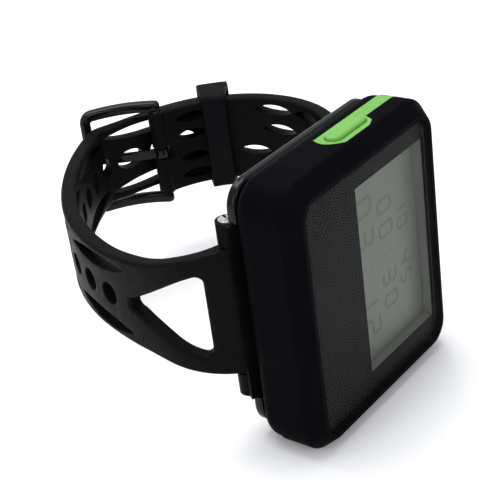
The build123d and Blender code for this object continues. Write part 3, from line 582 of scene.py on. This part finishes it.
def delta(flare, flip, length):
    """Clockwise three-cornered opening behind a lug, its corners rounded."""
    start, stop = flare[0][0], flare[-1][0]
    round_by = 1.5
    upper = []
    for angle in steps(pi, pi / 2, 6):
        upper.append(Vector((start + round_by + round_by * cos(angle),
                             smooth_half(flare, start + round_by) - round_by + round_by * sin(angle))))
    upper += [Vector((s, smooth_half(flare, s))) for s in steps(start + round_by, stop, 14)[1:]]
    upper.append(Vector((stop + 0.6, 0.7)))
    loop = upper + [Vector((point.x, -point.y)) for point in upper[::-1]]
    if flip:
        loop = [Vector((length - point.x, point.y)) for point in loop][::-1]
    return loop


def strap_sides(length, half_at, tail, count=90):
    """Lower side of a strap, from its first end to its rounded second end."""
    side = [Vector((s, -half_at(s))) for s in steps(0, length - tail, count)]
    half = half_at(length)
    for angle in steps(-pi / 2, 0, 8)[1:]:
        side.append(Vector((length - tail + tail * cos(angle), -(half - tail) + tail * sin(angle))))
    return side


HOLE_FIRST, HOLE_PITCH, HOLE_COUNT, HOLE_RADIUS = 29.6, 7.75, 12, 2.35
SLOT_FIRST, SLOT_REACH, SLOT_WIDE, SLOT_ACROSS, SLOT_TILT = 33.9, 20.6, 2.7, 6.5, 3.0
PRONG_HOLE, PRONG_HOLE_LONGER = 9, 1.5      # the hole that the prong passes, and its stretch
TAIL_CORNER, TAIL_MARGIN = 6.0, 3.5         # round corners of the tail; its last slots end this far short
LUG_THICKER, LUG_REACH = 1.3, 6.0           # the band thickens over this reach before its eye
EYE_RADIUS, EYE_ROUND = 2.3, 0.4


def lower_loops():
    """Outline and holes of the 6 o'clock strap, laid flat."""
    side = strap_sides(lower_path.length, lambda s: smooth_half(LOWER_FLARE, s), TAIL_CORNER)
    outside = side + [Vector((point.x, -point.y)) for point in side[::-1]]
    loops = [(outside, EDGE_ROUND), (delta(DELTA_FLARE, False, 0), DELTA_ROUND)]
    for number in range(HOLE_COUNT):
        centre = Vector((HOLE_FIRST + number * HOLE_PITCH, 0))
        longer = PRONG_HOLE_LONGER if number == PRONG_HOLE else 1.0
        loops.append((circle(centre, HOLE_RADIUS * longer, HOLE_RADIUS), HOLE_ROUND))
    for number in range(4):
        along = SLOT_FIRST + 3 * number * HOLE_PITCH
        reach = min(SLOT_REACH, 2 * (lower_path.length - TAIL_MARGIN - along))
        for up in (1, -1):
            slot = leaf(Vector((along, up * SLOT_ACROSS)), reach, SLOT_WIDE, -up * SLOT_TILT)
            loops.append((slot, HOLE_ROUND))
    return loops


def thick_near(start, thicker, over):
    """Thickness share that falls to 1 over a distance from start."""
    return lambda s: 1 + (thicker - 1) * max(0.0, 1 - abs(s - start) / over) ** 2


lower_mesh = punched_band(lower_loops(), CUT_EVERY, lower_path.length)
bend_along(lower_mesh, lower_path, thick_near(0, LUG_THICKER, LUG_REACH))
barrel(lower_mesh, LOWER_PIN.x, LOWER_PIN.y, -LUG_HALF, LUG_HALF, EYE_RADIUS, EYE_ROUND)
lower_strap = make_piece("strap_lower_moulded", lower_mesh, strap_skin, "band", 40)
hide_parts("strap_lower")

# Through slots of the 12 o'clock strap, as (distance from the knuckle, height, length)
UPPER_SLOTS = [
    (30.3, 7.5, 10.4), (41.8, 7.5, 10.6), (31.6, 2.6, 10.0), (43.0, 2.6, 9.0), (23.7, -3.2, 8.8),
    (34.6, -2.9, 9.6), (31.5, -7.5, 10.0), (42.5, -7.5, 10.0), (8.6, 7.3, 8.6), (8.2, 2.9, 7.6),
    (8.2, -2.9, 7.6), (8.6, -7.3, 8.6),
]
UPPER_SLOT_WIDE = 2.2
KNUCKLE_RADIUS, KNUCKLE_ROUND, KNUCKLE_GAP, NOTCH_DEEP = 1.95, 0.35, 1.45, 2.1


def upper_loops():
    """Outline and holes of the 12 o'clock strap, laid flat from its knuckle to its lug."""
    length = upper_path.length
    side = [Vector((s, -smooth_half(UPPER_FLARE, length - s))) for s in steps(0, length, 60)]
    outside = side + [Vector((point.x, -point.y)) for point in side[::-1]]
    outside += [
        Vector((0, KNUCKLE_GAP)), Vector((NOTCH_DEEP, KNUCKLE_GAP)),
        Vector((NOTCH_DEEP, -KNUCKLE_GAP)), Vector((0, -KNUCKLE_GAP)),
    ]
    loops = [(outside, EDGE_ROUND), (delta(DELTA_FLARE, True, length), DELTA_ROUND)]
    for along, across, reach in UPPER_SLOTS:
        loops.append((leaf(Vector((along, across)), reach, UPPER_SLOT_WIDE, 0.0), HOLE_ROUND))
    return loops


upper_mesh = punched_band(upper_loops(), CUT_EVERY, upper_path.length)
bend_along(upper_mesh, upper_path, thick_near(upper_path.length, LUG_THICKER, LUG_REACH))
barrel(upper_mesh, UPPER_PIN.x, UPPER_PIN.y, -LUG_HALF, LUG_HALF, EYE_RADIUS, EYE_ROUND)
bar = on_bend(BEND_RADIUS, BAR_ANGLE)
for knuckle_low, knuckle_high in ((-UPPER_HALF, -KNUCKLE_GAP), (KNUCKLE_GAP, UPPER_HALF)):
    barrel(upper_mesh, bar.x, bar.y, knuckle_low, knuckle_high, KNUCKLE_RADIUS, KNUCKLE_ROUND)
upper_strap = make_piece("strap_upper_moulded", upper_mesh, strap_skin, "band", 40)
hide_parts("strap_upper")

# Keeper: a loop round both strap layers, following their bend ---------------------------------
KEEPER_ANGLE, KEEPER_SWEEP, KEEPER_WALL, KEEPER_GAP = 39.8, 13.6, 1.2, 0.35
keeper_low = BEND_RADIUS - 0.5 * STRAP_THICK - KEEPER_GAP
keeper_high = TAIL_RADIUS + 0.5 * STRAP_THICK + KEEPER_GAP
keeper_half = UPPER_HALF + KEEPER_GAP
keeper_span = radians(KEEPER_SWEEP) * keeper_high
KEEPER_LIP = [(0.0, 0.26), (0.1, 0.09), (0.26, 0.0)]       # rounding of its ends: (distance, drawn in)
PLAIN_FROM = 1.2
keeper_marks = KEEPER_LIP + [(distance, 0.0) for distance in steps(PLAIN_FROM, keeper_span - PLAIN_FROM, 5)]
keeper_marks += [(keeper_span - distance, drawn) for distance, drawn in KEEPER_LIP[::-1]]


def keeper_shell(wall, corner):
    """Rings of the keeper's inside (wall 0) or outside, flared or drawn in at its two ends."""
    rings = []
    for distance, drawn in keeper_marks:
        angle = radians(KEEPER_ANGLE - 0.5 * KEEPER_SWEEP) + distance / keeper_high
        grown = wall - drawn if wall else drawn
        ring = []
        section = rounded_box_loop(0.5 * (keeper_high - keeper_low) + grown, keeper_half + grown, corner, 5)
        for radial, across in section:
            radius = 0.5 * (keeper_low + keeper_high) + radial
            ring.append(Vector((BEND_X + radius * cos(angle), BEND_DEPTH + radius * sin(angle), across)))
        rings.append(ring)
    return rings


keeper_outside = keeper_shell(KEEPER_WALL, 1.6)
keeper_inside = keeper_shell(0.0, 0.6)
keeper_mesh = bmesh.new()
skin_rings(keeper_mesh, keeper_outside + keeper_inside[::-1] + keeper_outside[:1], capped=False)
bmesh.ops.remove_doubles(keeper_mesh, verts=keeper_mesh.verts, dist=1e-5)
keeper = make_piece("keeper_moulded", keeper_mesh, keeper_skin, "keeper", 40)
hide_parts("keeper_loop")

# Buckle: a frame swept as one rounded bar, and its prong --------------------------------------
FRONT_BAR = Vector((17.2, 90.6))
ARM_MIDDLE, ARM_HALF, ARM_DEEP, ARM_BOW = 11.85, 1.25, 1.3, 1.6
FRAME_CORNER, FRAME_ROUND = 1.6, 0.85
PRONG_DEEP, PRONG_HALF, PRONG_ROUND = 0.62, 1.12, 0.35
PRONG_EYE, PRONG_EYE_ROUND = 1.7, 0.25
bar_way = (FRONT_BAR - bar).normalized()
bar_gap = (FRONT_BAR - bar).length
bar_side = Vector((bar_way.y, -bar_way.x))


def sweep_bar(mesh, points, normals, halves, corner):
    """Rounded bar along points in space; halves of its section are (along the normal, across it)."""
    rings = []
    for i, point in enumerate(points):
        heading = (points[min(i + 1, len(points) - 1)] - points[max(i - 1, 0)]).normalized()
        normal = normals[i] - heading * normals[i].dot(heading)
        normal.normalize()
        across = heading.cross(normal)
        half_normal, half_across = halves[i]
        fit = min(corner, 0.95 * min(half_normal, half_across))
        rings.append([
            point + normal * a + across * b for a, b in rounded_box_loop(half_normal, half_across, fit, 4)
        ])
    skin_rings(mesh, rings)


def arm_at(share):
    """Point of an arm's middle line in plan, from the spring bar (0) to the front bar (1)."""
    return bar + bar_way * (bar_gap * share) + bar_side * (4 * ARM_BOW * share * (1 - share))


frame_points, frame_halves = [], []
ARM_TIP = ((1.25, 0.45), (1.05, 0.75), (0.6, 0.95))        # (distance past the spring bar, share of full size)
for reach, size in ARM_TIP:
    point = bar - bar_way * reach
    frame_points.append(Vector((point.x, point.y, ARM_MIDDLE)))
    frame_halves.append((ARM_DEEP * size, ARM_HALF * size))
for share in steps(0, 1 - FRAME_CORNER / bar_gap, 14):
    point = arm_at(share)
    frame_points.append(Vector((point.x, point.y, ARM_MIDDLE)))
    frame_halves.append((ARM_DEEP, ARM_HALF))
arm_end = arm_at(1 - FRAME_CORNER / bar_gap)
for angle in steps(0, pi / 2, 7)[1:]:
    point = arm_end + (FRONT_BAR - arm_end) * sin(angle)
    frame_points.append(Vector((point.x, point.y, ARM_MIDDLE - FRAME_CORNER * (1 - cos(angle)))))
    frame_halves.append((ARM_DEEP, ARM_HALF))
frame_points += [Vector((point.x, point.y, -point.z)) for point in frame_points[::-1]]
frame_halves += frame_halves[::-1]
frame_mesh = bmesh.new()
frame_normals = [Vector((bar_side.x, bar_side.y, 0))] * len(frame_points)
sweep_bar(frame_mesh, frame_points, frame_normals, frame_halves, FRAME_ROUND)
buckle = make_piece("buckle_frame_cast", frame_mesh, gloss_skin, "band", 40)
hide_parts("buckle_frame")

prong_line = smooth_through(
    [bar, bar + bar_way * (0.35 * bar_gap), FRONT_BAR + 1.2 * bar_way + 2.5 * bar_side],
    bar_way - 0.08 * bar_side, bar_way + 0.42 * bar_side, 12,
)
prong_points = [Vector((point.x, point.y, 0)) for point in prong_line[2:]]
prong_halves = [(PRONG_DEEP, PRONG_HALF)] * (len(prong_points) - 3)
prong_halves += [(0.56, 1.0), (0.44, 0.8), (0.25, 0.45)]
prong_mesh = bmesh.new()
prong_normals = [Vector((bar_side.x, bar_side.y, 0))] * len(prong_points)
sweep_bar(prong_mesh, prong_points, prong_normals, prong_halves, PRONG_ROUND)
barrel(prong_mesh, bar.x, bar.y, -PRONG_HALF, PRONG_HALF, PRONG_EYE, PRONG_EYE_ROUND)
prong = make_piece("buckle_prong_cast", prong_mesh, gloss_skin, "band", 40)
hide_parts("buckle_prong")

# Battery spring: a coil that narrows towards the cell -----------------------------------------
spring_low, spring_high = [(corner - ORIGIN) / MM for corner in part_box("battery_spring")]
cell_low, cell_high = [(corner - ORIGIN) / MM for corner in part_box("battery")]
spring_middle = 0.5 * (spring_low + spring_high)
WIRE_HALF, COIL_TURNS, COIL_NARROW = 0.28, 2.5, 1.6
coil_wide = 0.5 * (spring_high.x - spring_low.x) - WIRE_HALF
coil_span = 0.5 * (spring_high.z - spring_low.z) - WIRE_HALF
cell_side = 1 if cell_low.z + cell_high.z > spring_low.z + spring_high.z else -1
coil_points, coil_normals = [], []
for turned in steps(0, 1, 70):
    angle = 2 * pi * COIL_TURNS * turned
    outward = Vector((cos(angle), sin(angle), 0))
    radius = coil_wide + (COIL_NARROW - coil_wide) * turned
    rise = cell_side * coil_span * (2 * turned - 1)
    coil_points.append(spring_middle + outward * radius + Vector((0, 0, rise)))
    coil_normals.append(outward)
coil_mesh = bmesh.new()
sweep_bar(coil_mesh, coil_points, coil_normals, [(WIRE_HALF, WIRE_HALF)] * len(coil_points), WIRE_HALF)
coil = make_piece("battery_spring_coil", coil_mesh, plated, "timer", 60)
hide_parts("battery_spring")

# Display segments ------------------------------------------------------------------------------
# Bars of a digit: (across, up) as shares of its width and of half its height, and 1 for an upright bar
SEGMENTS = {"a": ((0, 1), 0), "b": ((0.5, 0.5), 1), "c": ((0.5, -0.5), 1), "d": ((0, -1), 0),
            "e": ((-0.5, -0.5), 1), "f": ((-0.5, 0.5), 1), "g": ((0, 0), 0)}
SHAPES = {"0": "abcdef", "1": "bc", "2": "abged", "3": "abgcd", "4": "fgbc", "5": "afgcd"}
display_low, display_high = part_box("lcd_panel")
display_front = (display_low.y - ORIGIN.y) / MM
display_x = 0.5 * ((display_low + display_high).x - 2 * ORIGIN.x) / MM


def segment(mesh, x, height, reach, stroke, upright):
    """Bar with pointed ends, lying on the display; upright bars run along x."""
    half, tip = 0.5 * stroke, 0.5 * reach
    outline = [(-tip, 0), (half - tip, half), (tip - half, half)]
    outline += [(tip, 0), (tip - half, -half), (half - tip, -half)]
    rings = []
    for depth in (display_front - 0.02, display_front + 0.01):
        ring = []
        for run, across in outline:
            if upright:
                ring.append(Vector((x + run, depth, height - across)))
            else:
                ring.append(Vector((x + across, depth, height - run)))
        rings.append(ring)
    skin_rings(mesh, rings)


def digit(mesh, shape, x, height, wide, tall, stroke):
    """Seven-bar digit with its top towards x, read towards lower heights."""
    for bar_name in SHAPES[shape]:
        (across, up), upright = SEGMENTS[bar_name]
        reach = (0.5 * tall if upright else wide) - 0.25 * stroke
        segment(mesh, x + 0.5 * up * tall, height - across * wide, reach, stroke, upright)


# Rows of digits: (x from the middle of the display, size, what they show; a space shows two dots)
ROWS = ((6.6, 0.62, "10 45"), (0.6, 0.8, "00 30"), (-6.8, 1.0, "03 12"))
DIGIT_PITCH, DIGIT_WIDE, DIGIT_TALL, STROKE = 6.6, 3.4, 5.6, 0.8
digits_mesh = bmesh.new()
for row_x, size, shapes in ROWS:
    for index, shape in enumerate(shapes):
        centre = (2 - index) * DIGIT_PITCH * size
        if shape == " ":
            for dot in (1.1, -1.1):
                segment(digits_mesh, display_x + row_x + dot * size, centre, 0.9 * size, STROKE * size, True)
        else:
            digit(
                digits_mesh, shape, display_x + row_x, centre,
                DIGIT_WIDE * size, DIGIT_TALL * size, STROKE * size,
            )
make_piece("display_digits", digits_mesh, segment_skin, "timer")

# Floor -----------------------------------------------------------------------------------------
floor_mesh = bmesh.new()
bmesh.ops.create_grid(floor_mesh, x_segments=8, y_segments=8, size=3.0)
floor_data = bpy.data.meshes.new("floor")
floor_mesh.to_mesh(floor_data)
floor = bpy.data.objects.new("floor", floor_data)
bpy.context.scene.collection.objects.link(floor)
floor_skin, floor_tree, floor_surface = shader("pale_floor")
floor_tree.links.new(
    ramp(floor_tree, noise(floor_tree, 6.0), [(0.3, (0.9, 0.9, 0.9)), (0.7, (0.92, 0.92, 0.92))]),
    floor_surface.inputs["Base Color"],
)
floor_surface.inputs["Roughness"].default_value = 0.7
floor_data.materials.append(floor_skin)
